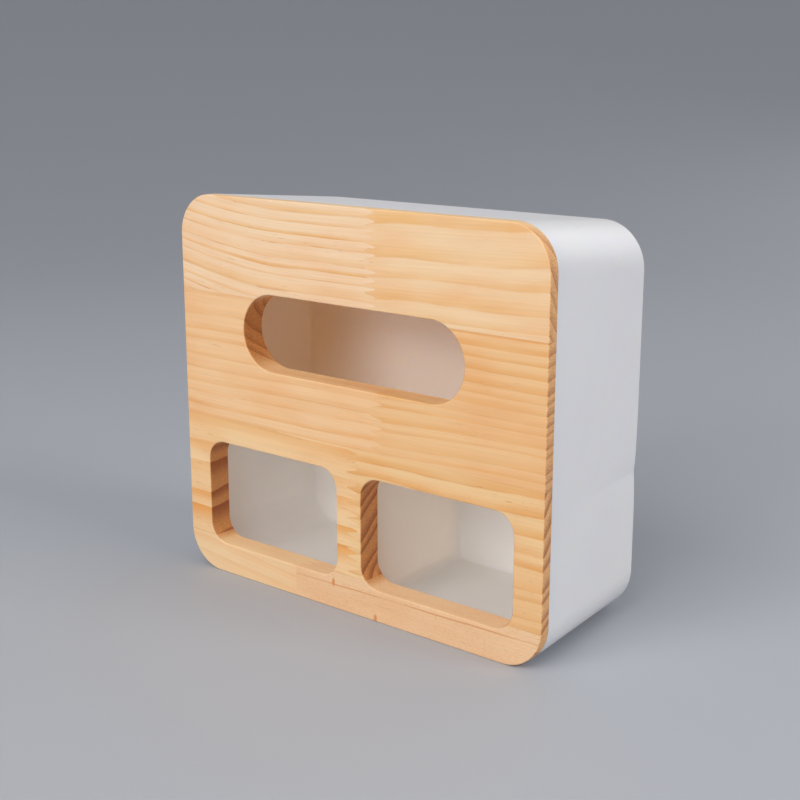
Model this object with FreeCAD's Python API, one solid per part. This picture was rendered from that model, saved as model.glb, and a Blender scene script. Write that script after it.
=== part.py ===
"""Tissue box: a white moulded tub on its long side, closed by a finger-jointed pine lid.

Millimetres. X runs along the front, Y from the lid to the back, Z up. The origin is under the
middle of the box, on the surface that it stands on.
"""
import FreeCAD
import Part
import math
import os

# Lid board
lid_width = 215.0
lid_height = 190.0
lid_corner_radius = 20.0
board_thickness = 12.0
flange_thickness = 5.3
lid_arris = 0.6

# Openings in the lid
side_bar_width = 15.0
middle_bar_width = 15.0
bottom_bar_height = 15.3
window_height = 53.0
window_corner_radius = 10.0
slot_length = 131.5
slot_width = 37.0
slot_bar_height = 40.4

# Staves of the lid: rows of one width, the top and bottom ones cut off by the lid's edges
stave_width = 62.4
head_strip_height = 12.5
finger_length = 6.0
finger_pitch = 3.7
finger_tip = 0.6
top_joint_place = 13.8
slot_joint_place = 17.0
window_joint_place = 2.4
bottom_joint_place = -31.0

# Tub, which narrows to the back but keeps a level underside
box_depth = 85.0
side_inset = 6.1
top_inset = 6.9
back_corner_radius = 21.4
back_edge_radius = 1.5
wall_thickness = 2.5
back_thickness = 2.5

# Pockets of the tub, and the shelf and cell wall between them
shelf_rise = 2.3
shelf_front_thickness = 2.4
shelf_root_thickness = 3.4
cell_wall_front_thickness = 2.2
cell_wall_root_thickness = 3.0
cell_floor_rise = 1.5
pocket_corner_radius = 4.0
pocket_floor_radius = 2.0

# Clearances
plug_clearance = 0.3
partition_clearance = 0.5
cut_margin = 5.0
same_place = 1e-4

# Places along the depth
front_y = -box_depth / 2
mouth_y = front_y + flange_thickness
plug_end_y = front_y + board_thickness
partition_y = plug_end_y + partition_clearance
back_y = box_depth / 2
pocket_end_y = back_y - back_thickness

# Places over the height
window_top = bottom_bar_height + window_height
shelf_top = window_top + shelf_rise
slot_low = window_top + slot_bar_height
window_width = (lid_width - 2 * side_bar_width - middle_bar_width) / 2


def blend(front, back, share):
    return front + (back - front) * share


def tub_share(y):
    """How far y lies on the way from the tub's mouth to its back."""
    return (y - mouth_y) / (back_y - mouth_y)


def partition_share(y):
    """How far y lies on the way from the partitions' front edge to their root."""
    return (y - partition_y) / (pocket_end_y - partition_y)


def half_width(y):
    return lid_width / 2 - side_inset * tub_share(y)


def top_height(y):
    return lid_height - top_inset * tub_share(y)


def corner_radius(y):
    return blend(lid_corner_radius, back_corner_radius, tub_share(y))


def floor_height(y):
    return wall_thickness + cell_floor_rise * tub_share(y)


def rounded_outline(y, left, right, low, high, radii):
    """A closed rectangle in the plane at y, with its own radius at each corner.

    radii goes round from low left over low right and high right to high left.
    """
    low_left, low_right, high_right, high_left = radii
    corners = [
        (left + low_left, low + low_left, low_left, 180),
        (right - low_right, low + low_right, low_right, 270),
        (right - high_right, high - high_right, high_right, 0),
        (left + high_left, high - high_left, high_left, 90),
    ]
    arcs = []
    for centre_x, centre_z, radius, start in corners:
        points = []
        for turn in (0, 45, 90):
            angle = math.radians(start + turn)
            x = centre_x + radius * math.cos(angle)
            z = centre_z + radius * math.sin(angle)
            points.append(FreeCAD.Vector(x, y, z))
        arcs.append(points)
    edges = []
    for index, points in enumerate(arcs):
        following = arcs[(index + 1) % len(arcs)]
        edges.append(Part.Arc(points[0], points[1], points[2]).toShape())
        if not points[2].isEqual(following[0], same_place):
            edges.append(Part.LineSegment(points[2], following[0]).toShape())
    return Part.Wire(edges)


def even_outline(y, left, right, low, high, radius):
    return rounded_outline(y, left, right, low, high, [radius] * 4)


def loft_between(front_wire, back_wire):
    """A block with straight sides from one outline to the other, flat sides as true planes."""
    faces = []
    for face in Part.makeLoft([front_wire, back_wire], True, True).Faces:
        corners = [vertex.Point for vertex in face.OuterWire.OrderedVertexes]
        if face.findPlane() and len(corners) == 4:
            face = Part.Face(Part.makePolygon(corners + corners[:1]))
        faces.append(face)
    shell = Part.Shell(faces)
    shell.sewShape()
    return Part.Solid(shell)


def pulled_back(wire, length):
    return Part.Face(wire).extrude(FreeCAD.Vector(0, length, 0))


def edges_at(shape, y):
    """The edges of a shape that lie in the plane at y."""
    found = []
    for edge in shape.Edges:
        box = edge.BoundBox
        if abs(box.YMin - y) < same_place and abs(box.YMax - y) < same_place:
            found.append(edge)
    return found


def outer_outline(y):
    half = half_width(y)
    return even_outline(y, -half, half, 0, top_height(y), corner_radius(y))


def inner_outline(y, clearance=0.0):
    half = half_width(y) - wall_thickness - clearance
    low = floor_height(y) + clearance
    high = top_height(y) - wall_thickness - clearance
    radius = corner_radius(y) - wall_thickness - clearance
    return even_outline(y, -half, half, low, high, radius)


def tissue_pocket_outline(y):
    half = half_width(y) - wall_thickness
    high = top_height(y) - wall_thickness
    outer = corner_radius(y) - wall_thickness
    radii = [pocket_corner_radius, pocket_corner_radius, outer, outer]
    return rounded_outline(y, -half, half, shelf_top, high, radii)


def cell_outline(y, side):
    """Outline of a storage cell: side is -1 for the left cell and 1 for the right one."""
    share = partition_share(y)
    near = blend(cell_wall_front_thickness, cell_wall_root_thickness, share) / 2
    far = half_width(y) - wall_thickness
    high = shelf_top - blend(shelf_front_thickness, shelf_root_thickness, share)
    outer = corner_radius(y) - wall_thickness
    inner = pocket_corner_radius
    if side > 0:
        return rounded_outline(y, near, far, floor_height(y), high, [inner, outer, inner, inner])
    return rounded_outline(y, -far, -near, floor_height(y), high, [outer, inner, inner, inner])


def pocket(front_wire, back_wire):
    """A pocket of the moulding, with a small rounding where its walls meet the back."""
    block = loft_between(front_wire, back_wire)
    return block.makeFillet(pocket_floor_radius, edges_at(block, pocket_end_y))


def make_tub():
    outside = loft_between(outer_outline(mouth_y), outer_outline(back_y))
    outside = outside.makeFillet(back_edge_radius, edges_at(outside, back_y))
    hollows = [
        loft_between(inner_outline(mouth_y), inner_outline(partition_y)),
        pocket(tissue_pocket_outline(partition_y), tissue_pocket_outline(pocket_end_y)),
        pocket(cell_outline(partition_y, -1), cell_outline(pocket_end_y, -1)),
        pocket(cell_outline(partition_y, 1), cell_outline(pocket_end_y, 1)),
    ]
    tub = outside
    for hollow in hollows:
        tub = tub.cut(hollow)
    return tub


def slot_cutter():
    half = slot_length / 2
    wire = even_outline(front_y, -half, half, slot_low, slot_low + slot_width, slot_width / 2)
    return pulled_back(wire, board_thickness)


def window_cutter(side):
    near = side * middle_bar_width / 2
    far = side * (middle_bar_width / 2 + window_width)
    wire = even_outline(
        front_y, min(near, far), max(near, far), bottom_bar_height, window_top, window_corner_radius)
    return pulled_back(wire, board_thickness)


def make_board():
    """The whole lid: a flange that covers the tub's rim, and a plug that fits into its mouth."""
    flange_wire = even_outline(
        front_y, -lid_width / 2, lid_width / 2, 0, lid_height, lid_corner_radius)
    flange = pulled_back(flange_wire, flange_thickness)
    plug_wire = inner_outline(plug_end_y, plug_clearance)
    plug = pulled_back(plug_wire, mouth_y - plug_end_y)
    board = flange.fuse(plug)
    for cutter in (slot_cutter(), window_cutter(-1), window_cutter(1)):
        board = board.cut(cutter)
    return board.makeFillet(lid_arris, edges_at(board, front_y))


def finger_points(place, start, end):
    """A line of blunt fingers: pairs of the place across and the place along the joint."""
    points = []
    along = start
    side = -1
    while along < end:
        across = place + side * finger_length / 2
        points.append((across, along))
        points.append((across, along + finger_tip))
        along += finger_pitch / 2
        side = -side
    return points


def joint_block(place, low, high, fingers_on_face):
    """All that lies left of a finger joint. The fingers show on the lid's face or on its edge."""
    left = -lid_width / 2 - cut_margin
    front = front_y - cut_margin
    under = low - cut_margin
    if fingers_on_face:
        line = finger_points(place, under, high + cut_margin)
    else:
        line = finger_points(place, front_y - finger_pitch, plug_end_y + finger_pitch)
    loop = line + [(left, line[-1][1]), (left, line[0][1]), line[0]]
    if fingers_on_face:
        corners = [FreeCAD.Vector(across, front, along) for across, along in loop]
        way = FreeCAD.Vector(0, board_thickness + 2 * cut_margin, 0)
    else:
        corners = [FreeCAD.Vector(across, along, under) for across, along in loop]
        way = FreeCAD.Vector(0, 0, high - low + 2 * cut_margin)
    return Part.Face(Part.makePolygon(corners)).extrude(way)


def make_staves():
    """The lid's staves, row by row from below, as pairs of a name and a solid."""
    board = make_board()
    seam = window_top + head_strip_height
    seams = [0, seam - stave_width, seam, seam + stave_width, lid_height]
    rows = [
        ("bottom", bottom_joint_place, False),
        ("window", window_joint_place, True),
        ("slot", slot_joint_place, True),
        ("top", top_joint_place, True),
    ]
    staves = []
    for index, (row, place, fingers_on_face) in enumerate(rows):
        low = seams[index]
        high = seams[index + 1]
        corner = FreeCAD.Vector(-lid_width / 2, front_y, low)
        band = Part.makeBox(lid_width, board_thickness, high - low, corner)
        strip = board.common(band)
        block = joint_block(place, low, high, fingers_on_face)
        staves.append(("lid_stave_" + row + "_left", strip.common(block)))
        staves.append(("lid_stave_" + row + "_right", strip.cut(block)))
    return staves


def export(name, shape):
    solids = shape.Solids
    if len(solids) != 1 or not solids[0].isValid():
        raise ValueError(name + " is not one sound solid")
    solids[0].exportStep("parts/" + name + ".step")
    print(name, round(solids[0].Volume / 1000, 2), "cm3")


os.makedirs("parts", exist_ok=True)
export("tub", make_tub())
for stave_name, stave in make_staves():
    export(stave_name, stave)
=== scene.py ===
import bpy
import bmesh
import math
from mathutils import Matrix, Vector


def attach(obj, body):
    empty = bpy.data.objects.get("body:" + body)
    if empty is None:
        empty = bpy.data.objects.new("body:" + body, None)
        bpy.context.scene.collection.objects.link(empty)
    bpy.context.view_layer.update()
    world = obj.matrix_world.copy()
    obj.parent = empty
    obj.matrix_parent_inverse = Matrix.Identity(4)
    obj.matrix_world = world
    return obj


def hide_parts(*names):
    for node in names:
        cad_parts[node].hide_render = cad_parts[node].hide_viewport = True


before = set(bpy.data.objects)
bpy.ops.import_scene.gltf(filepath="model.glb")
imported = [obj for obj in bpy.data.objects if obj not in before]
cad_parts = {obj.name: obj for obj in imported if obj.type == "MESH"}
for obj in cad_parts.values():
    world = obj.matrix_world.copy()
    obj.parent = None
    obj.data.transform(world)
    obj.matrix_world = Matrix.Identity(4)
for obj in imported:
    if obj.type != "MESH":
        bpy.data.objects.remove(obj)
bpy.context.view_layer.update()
mm = 0.001
# places closer together than this count as one
sameSpot = 0.02 * mm
print("frame loaded:", len(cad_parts), "solids")


# Small tools for selecting and modelling

def tone(red, green, blue):
    # a colour as a picture editor gives it, as the renderer's linear values
    linear = []
    for value in (red, green, blue):
        share = value / 255
        linear.append(share / 12.92 if share <= 0.04045 else ((share + 0.055) / 1.055) ** 2.4)
    return (*linear, 1)


def pickObjects(*chosen):
    if bpy.context.object and bpy.context.object.mode != "OBJECT":
        bpy.ops.object.mode_set(mode="OBJECT")
    bpy.ops.object.select_all(action="DESELECT")
    for piece in chosen:
        piece.select_set(True)
    if chosen:
        bpy.context.view_layer.objects.active = chosen[0]


def openEdit(piece):
    pickObjects(piece)
    bpy.ops.object.mode_set(mode="EDIT")


def pick(piece, kind, test):
    # in edit mode: selects the parts of one kind whose corners all pass the test
    bpy.ops.mesh.select_mode(type=kind)
    bpy.ops.mesh.select_all(action="DESELECT")
    mesh = bmesh.from_edit_mesh(piece.data)
    parts = {"VERT": mesh.verts, "EDGE": mesh.edges, "FACE": mesh.faces}[kind]
    for part in parts:
        corners = [part] if kind == "VERT" else part.verts
        if all(test(corner.co) for corner in corners):
            part.select_set(True)
    mesh.select_flush_mode()
    bmesh.update_edit_mesh(piece.data)


def near(value, goal):
    return abs(value - goal * mm) < sameSpot


def applyModifier(piece, kind, **settings):
    pickObjects(piece)
    modifier = piece.modifiers.new(kind.lower(), kind)
    for key, value in settings.items():
        setattr(modifier, key, value)
    bpy.ops.object.modifier_apply(modifier=modifier.name)


def roundedPlate(y, left, right, low, high, radii, steps):
    # a flat plate across the depth; radii go round from low left to high left
    pickObjects()
    middle = ((left + right) / 2 * mm, y * mm, (low + high) / 2 * mm)
    bpy.ops.mesh.primitive_plane_add(size=1, location=middle, rotation=(math.pi / 2, 0, 0))
    plate = bpy.context.object
    plate.scale = ((right - left) * mm, (high - low) * mm, 1)
    bpy.ops.object.transform_apply(location=True, rotation=True, scale=True)
    bpy.ops.object.mode_set(mode="EDIT")
    for (x, z), radius in zip(((left, low), (right, low), (right, high), (left, high)), radii):
        pick(plate, "VERT", lambda co: near(co.x, x) and near(co.z, z))
        bpy.ops.mesh.bevel(offset=radius * mm, segments=steps, profile=0.5, affect="VERTICES")
    bpy.ops.object.mode_set(mode="OBJECT")
    return plate


def loftBlock(name, frontPlate, backPlate, frontY, backY):
    # two plates bridged to a closed block
    pickObjects(frontPlate, backPlate)
    bpy.ops.object.join()
    block = bpy.context.object
    block.name = name
    block.data.name = name
    bpy.ops.object.mode_set(mode="EDIT")
    bpy.ops.mesh.select_mode(type="EDGE")
    bpy.ops.mesh.select_all(action="SELECT")
    bpy.ops.mesh.delete(type="ONLY_FACE")
    bpy.ops.mesh.select_all(action="SELECT")
    bpy.ops.mesh.bridge_edge_loops()
    for y in (frontY, backY):
        pick(block, "EDGE", lambda co: near(co.y, y))
        bpy.ops.mesh.edge_face_add()
    bpy.ops.mesh.select_all(action="SELECT")
    bpy.ops.mesh.normals_make_consistent(inside=False)
    bpy.ops.object.mode_set(mode="OBJECT")
    return block


def roundEdges(block, y, radius, steps):
    openEdit(block)
    pick(block, "EDGE", lambda co: near(co.y, y))
    bpy.ops.mesh.bevel(offset=radius * mm, segments=steps, profile=0.5, affect="EDGES")
    bpy.ops.object.mode_set(mode="OBJECT")


def edgeAtDepth(depth):
    # in edit mode: an edge on the selected faces where they cross one depth
    bpy.ops.mesh.bisect(plane_co=(0, depth * mm, 0), plane_no=(0, 1, 0))


def edgeAtHeight(height):
    # in edit mode: an edge on the selected faces where they cross one height
    bpy.ops.mesh.bisect(plane_co=(0, 0, height * mm), plane_no=(0, 0, 1))


def cutAway(piece, cutter):
    applyModifier(piece, "BOOLEAN", operation="DIFFERENCE", solver="EXACT", object=cutter)
    bpy.data.objects.remove(cutter)


# Tub: one moulding with a tissue pocket over two storage cells

# millimetres, apart from the steps of roundings and the angle in degrees
tub = {
    "width": 215, "height": 190, "mouthY": -37.2, "backY": 42.5,
    "mouthRadius": 20, "backRadius": 21.4, "sideInset": 6.1, "topInset": 6.9, "cornerSteps": 20,
    "rimRound": 0.35, "rimSteps": 2, "backRound": 1.5, "backSteps": 6,
    "wall": 2.5, "floorRise": 1.5, "partitionY": -30.0, "pocketEndY": 40.0,
    "shelfTop": 70.6, "shelfFront": 2.4, "shelfRoot": 3.4, "cellWallFront": 2.2, "cellWallRoot": 3.0,
    "pocketCorner": 4.0, "pocketRound": 2.0, "pocketSteps": 6,
    "cutterLead": 1.0, "cutterGap": 0.02, "weldWithin": 0.001, "sharpFrom": 32,
}

# the line where the wall is drawn in: the offsets and depths are where the flat sides get edges
sink = {
    "height": 69.2, "depth": 0.9, "spread": 8.0, "reach": 33, "frontY": -30.0, "fade": 1.4,
    "offsets": (-32, -22, -15, -10, -6.5, -4, -2, -0.9, -0.3, 0.3, 0.9, 2, 4, 6.5, 10, 15, 22, 32),
    "depths": range(-28, 42, 5),
    "flatFromX": 99, "flatFromZ": 19.8, "flatToZ": 170.1,
}


def tubShare(y):
    return (y - tub["mouthY"]) / (tub["backY"] - tub["mouthY"])


def tubHalf(y):
    return tub["width"] / 2 - tub["sideInset"] * tubShare(y)


def tubTop(y):
    return tub["height"] - tub["topInset"] * tubShare(y)


def tubRadius(y):
    return tub["mouthRadius"] + (tub["backRadius"] - tub["mouthRadius"]) * tubShare(y)


def tubFloor(y):
    return tub["wall"] + tub["floorRise"] * tubShare(y)


def outerPlate(y):
    half = tubHalf(y)
    return roundedPlate(y, -half, half, 0, tubTop(y), [tubRadius(y)] * 4, tub["cornerSteps"])


def recessPlate(y):
    half = tubHalf(y) - tub["wall"]
    radius = tubRadius(y) - tub["wall"]
    top = tubTop(y) - tub["wall"]
    return roundedPlate(y, -half, half, tubFloor(y), top, [radius] * 4, tub["cornerSteps"])


# the pockets are a hair smaller than the recess in front of them, so that no two faces coincide

def tissuePlate(y):
    inset = tub["wall"] + tub["cutterGap"]
    half = tubHalf(y) - inset
    outer = tubRadius(y) - inset
    inner = tub["pocketCorner"]
    radii = [inner, inner, outer, outer]
    return roundedPlate(y, -half, half, tub["shelfTop"], tubTop(y) - inset, radii, tub["cornerSteps"])


def cellPlate(y, side):
    inset = tub["wall"] + tub["cutterGap"]
    share = (y - tub["partitionY"]) / (tub["pocketEndY"] - tub["partitionY"])
    nearX = (tub["cellWallFront"] + (tub["cellWallRoot"] - tub["cellWallFront"]) * share) / 2
    farX = tubHalf(y) - inset
    low = tubFloor(y) + tub["cutterGap"]
    high = tub["shelfTop"] - tub["shelfFront"] - (tub["shelfRoot"] - tub["shelfFront"]) * share
    outer = tubRadius(y) - inset
    inner = tub["pocketCorner"]
    if side > 0:
        return roundedPlate(y, nearX, farX, low, high, [inner, outer, inner, inner], tub["cornerSteps"])
    return roundedPlate(y, -farX, -nearX, low, high, [outer, inner, inner, inner], tub["cornerSteps"])


def pocketBlock(name, plate):
    # a pocket starts a little in front of the partitions, so that it cuts their front cleanly
    startY = tub["partitionY"] - tub["cutterLead"]
    endY = tub["pocketEndY"]
    block = loftBlock(name, plate(startY), plate(endY), startY, endY)
    roundEdges(block, endY, tub["pocketRound"], tub["pocketSteps"])
    return block


def recessBlock():
    # it has an edge at the height of the shelf, where the material of the walls changes
    startY = tub["mouthY"] - tub["cutterLead"]
    endY = tub["partitionY"]
    block = loftBlock("recessCutter", recessPlate(startY), recessPlate(endY), startY, endY)
    openEdit(block)
    bpy.ops.mesh.select_all(action="SELECT")
    edgeAtHeight(tub["shelfTop"])
    bpy.ops.object.mode_set(mode="OBJECT")
    return block


def onFlatSide(place, side):
    low = sink["flatFromZ"] * mm
    high = sink["flatToZ"] * mm
    return place.x * side > sink["flatFromX"] * mm and low < place.z < high


def sinkMark(block):
    # the wall is drawn in where the shelf joins it, most at the back and fading out to the front
    openEdit(block)
    for depth in sink["depths"]:
        bpy.ops.mesh.select_all(action="SELECT")
        edgeAtDepth(depth)
    for side in (-1, 1):
        for offset in sink["offsets"]:
            pick(block, "FACE", lambda co: onFlatSide(co, side))
            edgeAtHeight(sink["height"] + offset)
    mesh = bmesh.from_edit_mesh(block.data)
    length = tub["backY"] - sink["frontY"]
    for corner in mesh.verts:
        place = corner.co / mm
        share = max(0, (place.y - sink["frontY"]) / length)
        away = abs(place.z - sink["height"])
        if abs(place.x) > sink["flatFromX"] and away < sink["reach"] and share > 0:
            pull = sink["depth"] * share ** sink["fade"] * math.exp(-away / sink["spread"])
            corner.co.x -= math.copysign(pull * mm, corner.co.x)
    bmesh.update_edit_mesh(block.data)
    bpy.ops.object.mode_set(mode="OBJECT")


def makeTub():
    mouthY = tub["mouthY"]
    backY = tub["backY"]
    body = loftBlock("tubMoulding", outerPlate(mouthY), outerPlate(backY), mouthY, backY)
    sinkMark(body)
    roundEdges(body, backY, tub["backRound"], tub["backSteps"])
    roundEdges(body, mouthY, tub["rimRound"], tub["rimSteps"])
    cutAway(body, recessBlock())
    cutAway(body, pocketBlock("tissueCutter", tissuePlate))
    for side in (-1, 1):
        cutAway(body, pocketBlock("cellCutter", lambda y: cellPlate(y, side)))
    openEdit(body)
    bpy.ops.mesh.select_all(action="SELECT")
    bpy.ops.mesh.remove_doubles(threshold=tub["weldWithin"] * mm)
    bpy.ops.object.mode_set(mode="OBJECT")
    bpy.ops.object.shade_smooth_by_angle(angle=math.radians(tub["sharpFrom"]))
    applyModifier(body, "WEIGHTED_NORMAL", keep_sharp=True)
    return body


tubPiece = makeTub()
print("tub moulded:", len(tubPiece.data.polygons), "faces")


# Node helpers

def setSocket(tree, socket, value):
    if isinstance(value, bpy.types.NodeSocket):
        tree.links.new(value, socket)
    else:
        socket.default_value = value


def addNode(tree, kind, inputs=None, **settings):
    made = tree.nodes.new(kind)
    for key, value in settings.items():
        setattr(made, key, value)
    for key, value in (inputs or {}).items():
        setSocket(tree, made.inputs[key], value)
    return made


def calc(tree, operation, *values):
    return addNode(tree, "ShaderNodeMath", dict(enumerate(values)), operation=operation).outputs[0]


def calcVector(tree, operation, *values):
    return addNode(tree, "ShaderNodeVectorMath", dict(enumerate(values)), operation=operation).outputs


def ramp(tree, value, low, high, fromValue=0, toValue=1):
    # a soft step between two values
    sockets = {"Value": value, "From Min": low, "From Max": high, "To Min": fromValue, "To Max": toValue}
    return addNode(tree, "ShaderNodeMapRange", sockets, interpolation_type="SMOOTHSTEP").outputs["Result"]


def stretched(tree, place, waves, offset, detail=2.0, roughness=0.5):
    # noise drawn out along the axes: waves are per millimetre
    scaled = calcVector(tree, "MULTIPLY", place, waves)[0]
    moved = calcVector(tree, "ADD", scaled, offset)[0]
    sockets = {"Vector": moved, "Scale": 1.0, "Detail": detail, "Roughness": roughness}
    return addNode(tree, "ShaderNodeTexNoise", sockets).outputs


def blendColour(tree, share, first, second, blendType="MIX"):
    mixed = addNode(tree, "ShaderNodeMix", {"Factor": share}, data_type="RGBA", blend_type=blendType)
    # a mix node has sockets for every kind of data: these are the two colours and their result
    setSocket(tree, mixed.inputs[6], first)
    setSocket(tree, mixed.inputs[7], second)
    return mixed.outputs[2]


def splitAxes(tree, place):
    return addNode(tree, "ShaderNodeSeparateXYZ", {0: place}).outputs


def joinAxes(tree, x, y, z):
    return addNode(tree, "ShaderNodeCombineXYZ", {0: x, 1: y, 2: z}).outputs[0]


def inMillimetres(tree, place):
    return calcVector(tree, "MULTIPLY", place, (1 / mm, 1 / mm, 1 / mm))[0]


def newMaterial(name):
    material = bpy.data.materials.new(name)
    material.use_nodes = True
    material.node_tree.nodes.clear()
    return material


def addSurface(tree, sockets):
    surface = addNode(tree, "ShaderNodeBsdfPrincipled", sockets)
    addNode(tree, "ShaderNodeOutputMaterial", {"Surface": surface.outputs[0]})


# Pine: growth rings round a pith, so that face, edge and end grain agree on every stave

# waves are per millimetre along x, y and z; the values of a soft step are its two ends,
# and then what it gives at each of them if that is not 0 and 1
pine = {
    "slowWaves": (0.010, 0.028, 0.028), "smallWaves": (0.045, 0.11, 0.11), "smallShare": 0.16,
    "unevenWaves": 0.55, "unevenShare": 0.9,
    "patchWaves": (0.014, 0.05, 0.05), "patchRange": (0.32, 0.66, 0.45, 1.0),
    "bandFull": 0.92, "bandClose": (0.93, 1.0, 1.0, 0.0), "ringChance": (0.0, 1.0, 0.45, 1.0),
    "lineRange": (0.82, 0.95), "lineWaves": 0.035, "lineStep": 7.3, "lineGaps": (0.46, 0.66, 0.12, 1.0),
    "fibreWaves": (0.018, 1.3, 1.3), "fibreShade": (0.25, 0.75, 0.945, 1.03),
    "cloudWaves": (0.020, 0.06, 0.06), "cloudRange": (0.35, 0.7), "cloudShare": 0.28,
    "cloudColour": tone(246, 202, 156),
    "dashWaves": (0.11, 2.2, 2.2), "dashRange": (0.69, 0.77), "dashShare": 0.7,
    "dashColour": tone(178, 106, 58), "crowdWaves": (0.03, 0.09, 0.09), "crowdRange": (0.45, 0.62),
    "fleckWaves": (0.55, 2.4, 2.4), "fleckRange": (0.50, 0.74), "fleckColour": tone(218, 152, 96),
    "dotRange": (0.66, 0.76), "dotCloud": (0.44, 0.6),
    "markWander": 0.9, "markRange": (0.10, 0.55, 1.0, 0.0), "markGaps": (0.36, 0.60, 0.35, 1.0),
    "seams": (18.4, 80.8, 143.2), "seamRange": (0.04, 0.22, 1.0, 0.0), "seamShare": 0.10,
    "seamColour": tone(150, 96, 58),
    "edgeTint": (1.08, 1.12, 1.10, 1), "backTint": (1.0, 0.84, 0.56, 1),
    "endEarly": tone(243, 185, 126), "endLate": tone(172, 88, 47), "endLines": 0.75,
    # painted shade: end walls within these distances of the middle, inside the openings, are darkened
    "openingShadeRange": (96, 102, 1.0, 0.0), "openingPaintedShade": (0.85, 0.69, 0.50, 1),
    "poreWaves": (0.3, 3.2, 3.2), "poreShade": (0.3, 0.7, 0.78, 1.16),
    "tornWaves": (0.3, 0.7, 2.6), "tornShade": (0.3, 0.7, 0.82, 1.14),
    "roughness": 0.40, "fibreRough": 0.14, "bandSmooth": 0.06, "endRough": 0.12,
    "fibreRelief": 0.5, "dashRelief": 0.8, "seamRelief": 0.4, "tornRelief": 1.2,
    "bumpStrength": 0.10, "bumpDistance": 0.0002, "specular": 0.4, "coat": 0.12, "coatRoughness": 0.32,
    "endFacing": (0.25, 0.85), "edgeFacing": (0.25, 0.95, 1.0, 0.0), "backFacing": (0.25, 0.95),
    "resinRange": (0.2, 1.0, 0.9, 0.0), "resinColour": tone(218, 130, 56),
}

pineColours = ("Early", "Late", "Line")
pineValues = (
    "End", "Edge", "Back", "Pith Y", "Pith Z", "Spacing", "Phase", "Slope", "Bow", "Bow From", "Wander",
    "Seed", "Soft", "Bands", "Lines", "Dashes", "Flecks", "End Bands", "End Shade", "Mark", "Mark Z",
)


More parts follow.
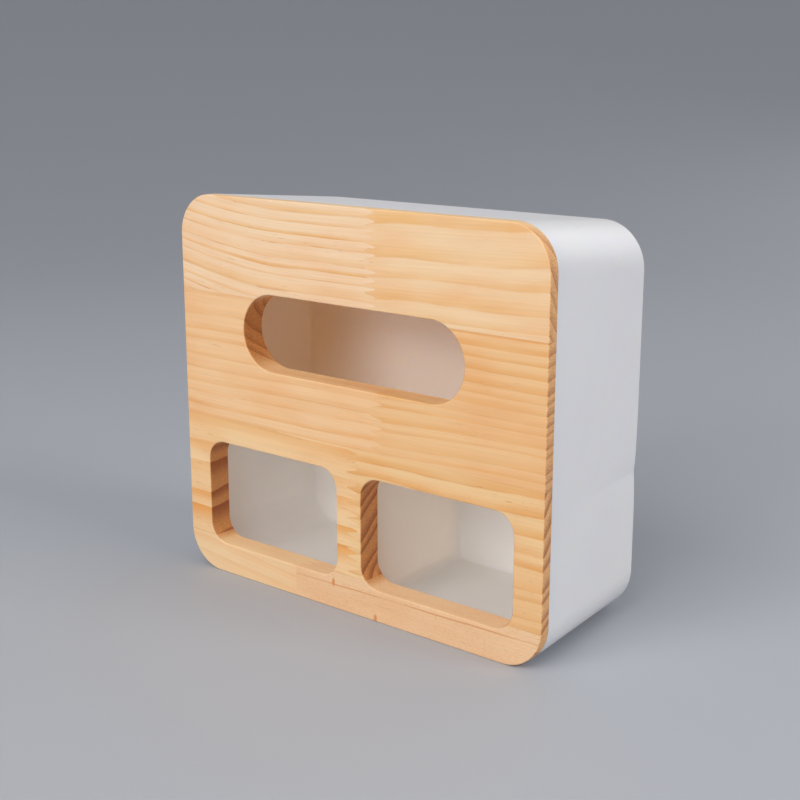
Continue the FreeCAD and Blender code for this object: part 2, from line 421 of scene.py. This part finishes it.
def makePineGroup():
    group = bpy.data.node_groups.new("pineGrain", "ShaderNodeTree")
    group.interface.new_socket("Place", in_out="INPUT", socket_type="NodeSocketVector")
    for name in pineValues:
        group.interface.new_socket(name, in_out="INPUT", socket_type="NodeSocketFloat")
    for name in pineColours:
        group.interface.new_socket(name, in_out="INPUT", socket_type="NodeSocketColor")
    group.interface.new_socket("Colour", in_out="OUTPUT", socket_type="NodeSocketColor")
    group.interface.new_socket("Roughness", in_out="OUTPUT", socket_type="NodeSocketFloat")
    group.interface.new_socket("Height", in_out="OUTPUT", socket_type="NodeSocketFloat")
    given = group.nodes.new("NodeGroupInput").outputs
    result = group.nodes.new("NodeGroupOutput").inputs
    place = inMillimetres(group, given["Place"])
    axes = splitAxes(group, place)
    seedShift = joinAxes(group, given["Seed"], given["Seed"], given["Seed"])

    def plus(first, second):
        return calc(group, "ADD", first, second)

    def minus(first, second):
        return calc(group, "SUBTRACT", first, second)

    def times(first, second):
        return calc(group, "MULTIPLY", first, second)

    def soften(value, rangeName):
        return ramp(group, value, *pine[rangeName])

    def noise(where, wavesName, detail, roughness=0.5):
        return stretched(group, where, pine[wavesName], seedShift, detail, roughness)

    def lay(colour, share, second):
        return blendColour(group, share, colour, second)

    def tint(colour, share, second):
        return blendColour(group, share, colour, second, "MULTIPLY")

    def shade(colour, value):
        return tint(colour, 1.0, joinAxes(group, value, value, value))

    # slow wander of the stem, and a smaller one for single rings
    slowAxes = splitAxes(group, noise(place, "slowWaves", 1.0)["Color"])
    smallAxes = splitAxes(group, noise(place, "smallWaves", 2.0)["Color"])
    wander = []
    for axis in (1, 2):
        little = times(minus(smallAxes[axis], 0.5), pine["smallShare"])
        wander.append(times(plus(minus(slowAxes[axis], 0.5), little), given["Wander"]))

    # distance from the pith, which may lean and bend along the stave
    bent = calc(group, "MINIMUM", minus(axes[0], given["Bow From"]), 0.0)
    bow = times(times(bent, bent), given["Bow"])
    height = minus(axes[2], plus(bow, times(axes[0], given["Slope"])))
    along = joinAxes(group, axes[0], axes[1], height)
    fromY = minus(plus(axes[1], wander[0]), given["Pith Y"])
    fromZ = minus(plus(height, wander[1]), given["Pith Z"])
    radius = calc(group, "SQRT", plus(times(fromY, fromY), times(fromZ, fromZ)))

    # rings of uneven width: early wood turns to a golden late band with a firm outer edge
    count = plus(calc(group, "DIVIDE", radius, given["Spacing"]), given["Phase"])
    sockets = {"W": plus(count, given["Seed"]), "Scale": pine["unevenWaves"], "Detail": 1.0}
    uneven = addNode(group, "ShaderNodeTexNoise", sockets, noise_dimensions="1D").outputs[0]
    rings = plus(count, times(uneven, pine["unevenShare"]))
    through = calc(group, "FRACT", rings)
    ringSeed = plus(calc(group, "FLOOR", rings), given["Seed"])
    chance = addNode(group, "ShaderNodeTexWhiteNoise", {"W": ringSeed}, noise_dimensions="1D")
    ringStrength = soften(splitAxes(group, chance.outputs["Color"])[0], "ringChance")
    patch = soften(noise(along, "patchWaves", 2.0)[0], "patchRange")
    closing = soften(through, "bandClose")
    ringBand = times(ramp(group, through, given["Soft"], pine["bandFull"]), closing)
    band = times(ringBand, times(ringStrength, patch))

    # thin brown stretches at the outer edge of some rings
    ringEdge = times(soften(through, "lineRange"), closing)
    alongLine = times(axes[0], pine["lineWaves"])
    stretch = joinAxes(group, alongLine, times(ringSeed, pine["lineStep"]), given["Seed"])
    sockets = {"Vector": stretch, "Scale": 1.0, "Detail": 2.0}
    stretchNoise = addNode(group, "ShaderNodeTexNoise", sockets).outputs[0]
    fineLine = times(ringEdge, soften(stretchNoise, "lineGaps"))

    # fibres along the stave, soft clouds of colour, short flecks, and resin dashes and dots
    fibre = noise(along, "fibreWaves", 4.0, 0.65)[0]
    cloud = noise(along, "cloudWaves", 3.0)[0]
    crowd = soften(noise(along, "crowdWaves", 1.0)[0], "crowdRange")
    dash = times(soften(noise(along, "dashWaves", 1.0)[0], "dashRange"), crowd)
    fleck = noise(along, "fleckWaves", 2.0, 0.6)[0]
    dot = times(soften(fleck, "dotRange"), soften(cloud, "dotCloud"))
    dash = times(calc(group, "MAXIMUM", dash, dot), given["Dashes"])

    # glue lines: level seams between the rows
    seamAway = None
    for seam in pine["seams"]:
        away = calc(group, "ABSOLUTE", minus(axes[2], seam))
        seamAway = away if seamAway is None else calc(group, "MINIMUM", seamAway, away)
    seamLine = soften(seamAway, "seamRange")

    colour = lay(given["Early"], times(band, given["Bands"]), given["Late"])
    colour = lay(colour, times(fineLine, given["Lines"]), given["Line"])
    colour = tint(colour, times(soften(cloud, "cloudRange"), pine["cloudShare"]), pine["cloudColour"])
    colour = shade(colour, soften(fibre, "fibreShade"))
    colour = lay(colour, times(soften(fleck, "fleckRange"), given["Flecks"]), pine["fleckColour"])
    colour = lay(colour, times(dash, pine["dashShare"]), pine["dashColour"])

    # one dark growth line that stands alone
    markNoise = times(minus(smallAxes[0], 0.5), pine["markWander"])
    markAway = calc(group, "ABSOLUTE", minus(plus(height, markNoise), given["Mark Z"]))
    markLine = times(soften(markAway, "markRange"), given["Mark"])
    colour = lay(colour, times(markLine, soften(stretchNoise, "markGaps")), given["Line"])
    colour = lay(colour, times(seamLine, pine["seamShare"]), pine["seamColour"])

    # routed edges are paler than the face, and the back has a deeper colour
    colour = tint(colour, given["Edge"], pine["edgeTint"])
    colour = tint(colour, given["Back"], pine["backTint"])

    # end grain: darker, with the rings cut across, torn fibres and small open pores;
    # inside the openings it is darker still, painted shade on the recessed end walls
    pores = noise(place, "poreWaves", 2.0, 0.7)[0]
    torn = noise(place, "tornWaves", 3.0, 0.7)[0]
    endBand = calc(group, "MAXIMUM", times(ringBand, given["End Bands"]), times(ringEdge, pine["endLines"]))
    endColour = lay(pine["endEarly"], endBand, pine["endLate"])
    # End Shade: partly the stave's darker end grain, partly painted shade on end walls that get little
    # light
    endColour = shade(endColour, given["End Shade"])
    shadedInOpening = soften(calc(group, "ABSOLUTE", axes[0]), "openingShadeRange")
    endColour = tint(endColour, shadedInOpening, pine["openingPaintedShade"])
    endColour = shade(endColour, times(soften(pores, "poreShade"), soften(torn, "tornShade")))
    group.links.new(lay(colour, given["End"], endColour), result["Colour"])

    roughness = plus(times(fibre, pine["fibreRough"]), pine["roughness"])
    roughness = minus(roughness, times(band, pine["bandSmooth"]))
    roughness = plus(roughness, times(given["End"], pine["endRough"]))
    group.links.new(roughness, result["Roughness"])
    relief = minus(times(fibre, pine["fibreRelief"]), times(dash, pine["dashRelief"]))
    relief = minus(relief, times(seamLine, pine["seamRelief"]))
    relief = plus(relief, times(times(torn, given["End"]), pine["tornRelief"]))
    group.links.new(relief, result["Height"])
    return group


pineGroup = makePineGroup()

brown = tone(213, 145, 80)

# pith, spacing, bow's start, wander and mark's height in millimetres; phase in rings;
# bands, lines, dashes, flecks, end bands, end shade and mark are strengths; end shade darkens
# a stave's end walls, partly its own darker end grain and partly painted shade
staves = {
    "lid_stave_top_left": {
        "Pith Y": -86, "Pith Z": 241, "Spacing": 4.5, "Slope": 0.012, "Bow": 0.00134, "Bow From": -25,
        "Wander": 5, "Seed": 3.1, "Soft": 0.40, "Bands": 0.95, "Lines": 0.5, "Dashes": 0.7,
        "End Bands": 0.4, "End Shade": 1.0,
        "Early": tone(244, 210, 172), "Late": tone(236, 178, 104), "Line": brown},
    "lid_stave_top_right": {
        "Pith Y": 58, "Pith Z": 221.6, "Spacing": 5.0, "Slope": 0.03,
        "Wander": 4, "Seed": 7.4, "Soft": 0.2, "Bands": 0.85, "Lines": 0.2, "Dashes": 0.3,
        "End Bands": 0.35, "End Shade": 1.0,
        "Early": tone(243, 207, 164), "Late": tone(236, 179, 106), "Line": brown},
    "lid_stave_slot_left": {
        "Pith Y": 16.5, "Pith Z": 197, "Spacing": 5.4, "Phase": 0.3,
        "Wander": 5, "Seed": 12.9, "Soft": 0.35, "Bands": 0.75, "Lines": 0.3, "Dashes": 0.4,
        "End Bands": 0.4, "End Shade": 0.96,
        "Early": tone(242, 198, 149), "Late": tone(234, 168, 98), "Line": brown},
    "lid_stave_slot_right": {
        "Pith Y": -60, "Pith Z": 229.6, "Spacing": 4.9, "Phase": 0.1, "Slope": 0.02,
        "Wander": 6, "Seed": 18.2, "Soft": 0.25, "Bands": 0.9, "Lines": 0.25, "Dashes": 0.35,
        "End Bands": 0.45, "End Shade": 1.0,
        "Early": tone(239, 193, 140), "Late": tone(230, 164, 90), "Line": brown},
    "lid_stave_window_left": {
        "Pith Y": -30, "Pith Z": -49.3, "Spacing": 12.4,
        "Wander": 7, "Seed": 23.7, "Soft": 0.2, "Bands": 1.0, "Lines": 0.3, "Dashes": 1.0,
        "End Bands": 0.8, "End Shade": 0.95,
        "Early": tone(243, 204, 154), "Late": tone(235, 166, 86), "Line": brown},
    "lid_stave_window_right": {
        "Pith Y": -98, "Pith Z": 115, "Spacing": 5.8, "Slope": 0.015,
        "Wander": 7, "Seed": 29.5, "Soft": 0.25, "Bands": 0.95, "Lines": 0.45, "Dashes": 0.9,
        "End Bands": 0.7, "End Shade": 1.0,
        "Early": tone(240, 201, 149), "Late": tone(231, 165, 88), "Line": brown},
    "lid_stave_bottom_left": {
        "Pith Y": -60.5, "Pith Z": -67, "Spacing": 8.0, "Slope": -0.1,
        "Wander": 5, "Seed": 34.8, "Soft": 0.3, "Bands": 0.4, "Lines": 0.1, "Dashes": 0.2,
        "End Bands": 0.3, "End Shade": 1.0,
        "Early": tone(243, 206, 160), "Late": tone(235, 176, 110), "Line": brown},
    "lid_stave_bottom_right": {
        "Pith Y": -54.5, "Pith Z": -79, "Spacing": 16.0, "Phase": -0.1, "Slope": 0.016,
        "Wander": 3, "Seed": 41.3, "Soft": 0.3, "Bands": 0.2, "Dashes": 0.25, "Flecks": 0.45,
        "End Bands": 0.3, "End Shade": 1.0, "Mark": 0.7, "Mark Z": 12.1,
        "Early": tone(240, 199, 156), "Late": tone(229, 168, 110), "Line": tone(212, 134, 72)},
}

# resin flecks seen on one stave: place along the lid, height, width and length in millimetres
resinFlecks = {"lid_stave_bottom_right": ((-9.8, 13.0, 1.3, 3.2), (16.2, 1.6, 1.4, 3.0))}


def addFlecks(tree, place, colour, flecks):
    for x, z, width, length in flecks:
        shift = calcVector(tree, "SUBTRACT", place, (x * mm, 0, z * mm))[0]
        scaled = calcVector(tree, "MULTIPLY", shift, (1 / (width * mm), 0, 1 / (length * mm)))[0]
        away = calcVector(tree, "LENGTH", scaled)["Value"]
        colour = blendColour(tree, ramp(tree, away, *pine["resinRange"]), colour, pine["resinColour"])
    return colour


def makePine(name, values, flecks):
    material = newMaterial(name)
    tree = material.node_tree
    coords = addNode(tree, "ShaderNodeTexCoord").outputs
    facing = splitAxes(tree, coords["Normal"])
    given = {
        "Place": coords["Object"],
        "End": ramp(tree, calc(tree, "ABSOLUTE", facing[0]), *pine["endFacing"]),
        "Edge": ramp(tree, calc(tree, "ABSOLUTE", facing[1]), *pine["edgeFacing"]),
        "Back": ramp(tree, facing[1], *pine["backFacing"]),
    }
    grain = addNode(tree, "ShaderNodeGroup", node_tree=pineGroup)
    for key, value in {**given, **values}.items():
        setSocket(tree, grain.inputs[key], value)
    bump = addNode(tree, "ShaderNodeBump", {
        "Height": grain.outputs["Height"],
        "Strength": pine["bumpStrength"], "Distance": pine["bumpDistance"]})
    addSurface(tree, {
        "Base Color": addFlecks(tree, coords["Object"], grain.outputs["Colour"], flecks),
        "Roughness": grain.outputs["Roughness"], "Normal": bump.outputs[0],
        "Specular IOR Level": pine["specular"],
        "Coat Weight": pine["coat"], "Coat Roughness": pine["coatRoughness"]})
    return material


for staveName, staveValues in staves.items():
    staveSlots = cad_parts[staveName].material_slots
    pineName = "pine" + staveName.replace("lid_stave", "").title().replace("_", "")
    staveSlots[0].material = makePine(pineName, staveValues, resinFlecks.get(staveName, ()))
print("staves dressed:", len(staves))


# White plastic of the tub: satin outside and duller inside, where light comes through the wall;
# the inside is a warmer, brighter white as painted bounce light, and the pocket also has a painted glow

# the scale of the light that comes through and the bump's distance are in metres
plastic = {
    "outside": {
        "white": tone(241, 240, 241), "shade": tone(238, 237, 239), "roughness": 0.36,
        "through": 0.5, "throughScale": 0.003, "throughRadius": (1.0, 0.8, 0.6)},
    # painted light: the inside is a warmer, brighter white than the outside, standing in for warm light
    # bounced inside the tub
    "inside": {
        "white": tone(249, 247, 242), "shade": tone(247, 243, 238), "roughness": 0.6,
        "through": 0.4, "throughScale": 0.05, "throughRadius": (1.0, 0.75, 0.55)},
    # painted light: the pocket is brighter still and has a faint golden glow, standing in for light behind
    # the lid
    "pocket": {
        "white": tone(253, 249, 246), "shade": tone(251, 246, 241), "roughness": 0.6,
        "through": 0.4, "throughScale": 0.004, "throughRadius": (1.0, 0.5, 0.25),
        "paintedGlow": (0.014, 0.010, 0.001, 1)},
    "peelWaves": (0.9, 0.9, 0.9), "cloudWaves": (0.02, 0.02, 0.02), "cloudRange": (0.3, 0.7),
    "peelShift": (0, 0, 0), "cloudShift": (5, 5, 5), "roughnessSpread": 0.10,
    "bumpStrength": 0.06, "bumpDistance": 0.0002, "refraction": 1.5,
}


def makePlastic(name, values):
    material = newMaterial(name)
    tree = material.node_tree
    place = inMillimetres(tree, addNode(tree, "ShaderNodeTexCoord").outputs["Object"])
    peel = stretched(tree, place, plastic["peelWaves"], plastic["peelShift"], detail=3.0)[0]
    cloud = stretched(tree, place, plastic["cloudWaves"], plastic["cloudShift"], detail=3.0)[0]
    colour = blendColour(tree, ramp(tree, cloud, *plastic["cloudRange"]), values["white"], values["shade"])
    spread = plastic["roughnessSpread"]
    roughness = calc(tree, "ADD", calc(tree, "MULTIPLY", cloud, spread), values["roughness"] - spread / 2)
    bump = addNode(tree, "ShaderNodeBump", {
        "Height": peel, "Strength": plastic["bumpStrength"], "Distance": plastic["bumpDistance"]})
    sockets = {
        "Base Color": colour, "Roughness": roughness,
        "Normal": bump.outputs[0], "IOR": plastic["refraction"],
        "Subsurface Weight": values["through"], "Subsurface Radius": values["throughRadius"],
        "Subsurface Scale": values["throughScale"]}
    # the glow is painted light: the pocket is no lamp
    if "paintedGlow" in values:
        sockets["Emission Color"] = values["paintedGlow"]
        sockets["Emission Strength"] = 1.0
    addSurface(tree, sockets)
    return material


def insideTub(place):
    # true for corners more than half a wall under the outer surface
    x, y, z = place / mm
    radius = tubRadius(y)
    middle = tubTop(y) / 2
    overX = max(abs(x) - tubHalf(y) + radius, 0)
    overZ = max(abs(z - middle) - middle + radius, 0)
    return math.hypot(overX, overZ) < radius - tub["wall"] / 2 and y < tub["backY"] - tub["wall"] / 2


def insidePocket(place):
    return insideTub(place) and place.z > tub["shelfTop"] * mm - sameSpot


def dressTub():
    # the tissue pocket lets more red through; its brighter white and faint golden glow are painted light
    # behind the lid
    tubPiece.data.materials.clear()
    tubPiece.data.materials.append(makePlastic("satinWhitePlastic", plastic["outside"]))
    tubPiece.data.materials.append(makePlastic("dullWhitePlastic", plastic["inside"]))
    tubPiece.data.materials.append(makePlastic("pocketPaintedLightPlastic", plastic["pocket"]))
    openEdit(tubPiece)
    for index, test in ((1, insideTub), (2, insidePocket)):
        pick(tubPiece, "FACE", test)
        tubPiece.active_material_index = index
        bpy.ops.object.material_slot_assign()
    bpy.ops.object.mode_set(mode="OBJECT")


dressTub()
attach(tubPiece, "tub")
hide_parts("tub")
print("tub dressed")


# Studio: a pale bowl that rises all round, soft lamps and the camera

# lengths in metres, lamp power in watts
studio = {
    "floorRadius": 1.1, "floorCorners": 96, "riseRadius": 3.2, "riseSteps": 18, "wallTop": 4.2,
    "floorColour": tone(178, 181, 187), "floorRoughness": 0.6,
    "worldColour": (0.97, 0.98, 1.0, 1), "worldStrength": 0.42,
    # name, place, size, power, spread in degrees, and whether surfaces mirror the lamp
    "lamps": (
        ("keyLamp", (0.1, -1.6, 1.5), 1.8, 28.8, 180, False),
        ("sideLamp", (1.75, 0.25, 1.1), 0.9, 14.2, 180, False),
        ("fillLamp", (-0.15, -1.8, 0.62), 1.0, 3.7, 110, False),
        ("rimLamp", (0.2, 1.7, 0.8), 1.0, 3.2, 180, True),
    ),
    "aim": (0, 0, 0.09), "bounces": 12,
}

# degrees and millimetres, apart from the nearest distance in metres
view = {
    "azimuth": 39.52, "elevation": 14.01, "distance": 652.12, "target": (-4.13, 0, 94.25),
    "lens": 61.32, "sensor": 36, "nearest": 0.01,
}


def bowlRings():
    # radius and height of each ring from the floor's edge up to the top of the wall
    steps = studio["riseSteps"]
    rings = []
    for step in range(1, steps + 1):
        angle = math.pi / 2 * step / steps
        radius = studio["floorRadius"] + studio["riseRadius"] * math.sin(angle)
        rings.append((radius, studio["riseRadius"] * (1 - math.cos(angle))))
    rings.append((rings[-1][0], studio["wallTop"]))
    return rings


def makeFloor():
    pickObjects()
    outer = studio["floorRadius"]
    level = 0.0
    bpy.ops.mesh.primitive_circle_add(vertices=studio["floorCorners"], radius=outer, fill_type="NGON")
    floor = bpy.context.object
    floor.name = "paleFloor"
    bpy.ops.object.mode_set(mode="EDIT")
    bpy.ops.mesh.select_mode(type="EDGE")
    for radius, top in bowlRings():
        bpy.ops.mesh.select_all(action="DESELECT")
        mesh = bmesh.from_edit_mesh(floor.data)
        for edge in mesh.edges:
            if len(edge.link_faces) == 1:
                edge.select_set(True)
        bmesh.update_edit_mesh(floor.data)
        bpy.ops.mesh.extrude_edges_move(TRANSFORM_OT_translate={"value": (0, 0, top - level)})
        grow = radius / outer
        bpy.ops.transform.resize(value=(grow, grow, 1), center_override=(0, 0, 0))
        outer = radius
        level = top
    bpy.ops.mesh.select_all(action="SELECT")
    bpy.ops.mesh.normals_make_consistent(inside=True)
    bpy.ops.object.mode_set(mode="OBJECT")
    bpy.ops.object.shade_smooth()
    material = newMaterial("paleFloorPaint")
    paint = {"Base Color": studio["floorColour"], "Roughness": studio["floorRoughness"]}
    addSurface(material.node_tree, paint)
    floor.data.materials.append(material)


def makeLamps():
    for name, place, size, power, spread, mirrored in studio["lamps"]:
        pickObjects()
        bpy.ops.object.light_add(type="AREA", location=place)
        lamp = bpy.context.object
        lamp.name = name
        lamp.data.size = size
        lamp.data.energy = power
        lamp.data.spread = math.radians(spread)
        lamp.visible_glossy = mirrored
        aim = Vector(studio["aim"]) - Vector(place)
        lamp.rotation_euler = aim.to_track_quat("-Z", "Y").to_euler()
    world = bpy.data.worlds.new("softWorld")
    world.use_nodes = True
    sky = world.node_tree.nodes["Background"].inputs
    sky["Color"].default_value = studio["worldColour"]
    sky["Strength"].default_value = studio["worldStrength"]
    bpy.context.scene.world = world


def makeCamera():
    turn = math.radians(view["azimuth"])
    rise = math.radians(view["elevation"])
    away = Vector((math.sin(turn) * math.cos(rise), -math.cos(turn) * math.cos(rise), math.sin(rise)))
    pickObjects()
    bpy.ops.object.camera_add(location=(Vector(view["target"]) + away * view["distance"]) * mm)
    camera = bpy.context.object
    camera.name = "photoCamera"
    camera.rotation_euler = (-away).to_track_quat("-Z", "Y").to_euler()
    camera.data.sensor_width = view["sensor"]
    camera.data.lens = view["lens"]
    camera.data.clip_start = view["nearest"]
    bpy.context.scene.camera = camera


makeFloor()
makeLamps()
makeCamera()
bpy.context.scene.view_settings.view_transform = "Standard"
# light goes to and fro inside the white tub
bpy.context.scene.cycles.diffuse_bounces = studio["bounces"]
print("studio ready")
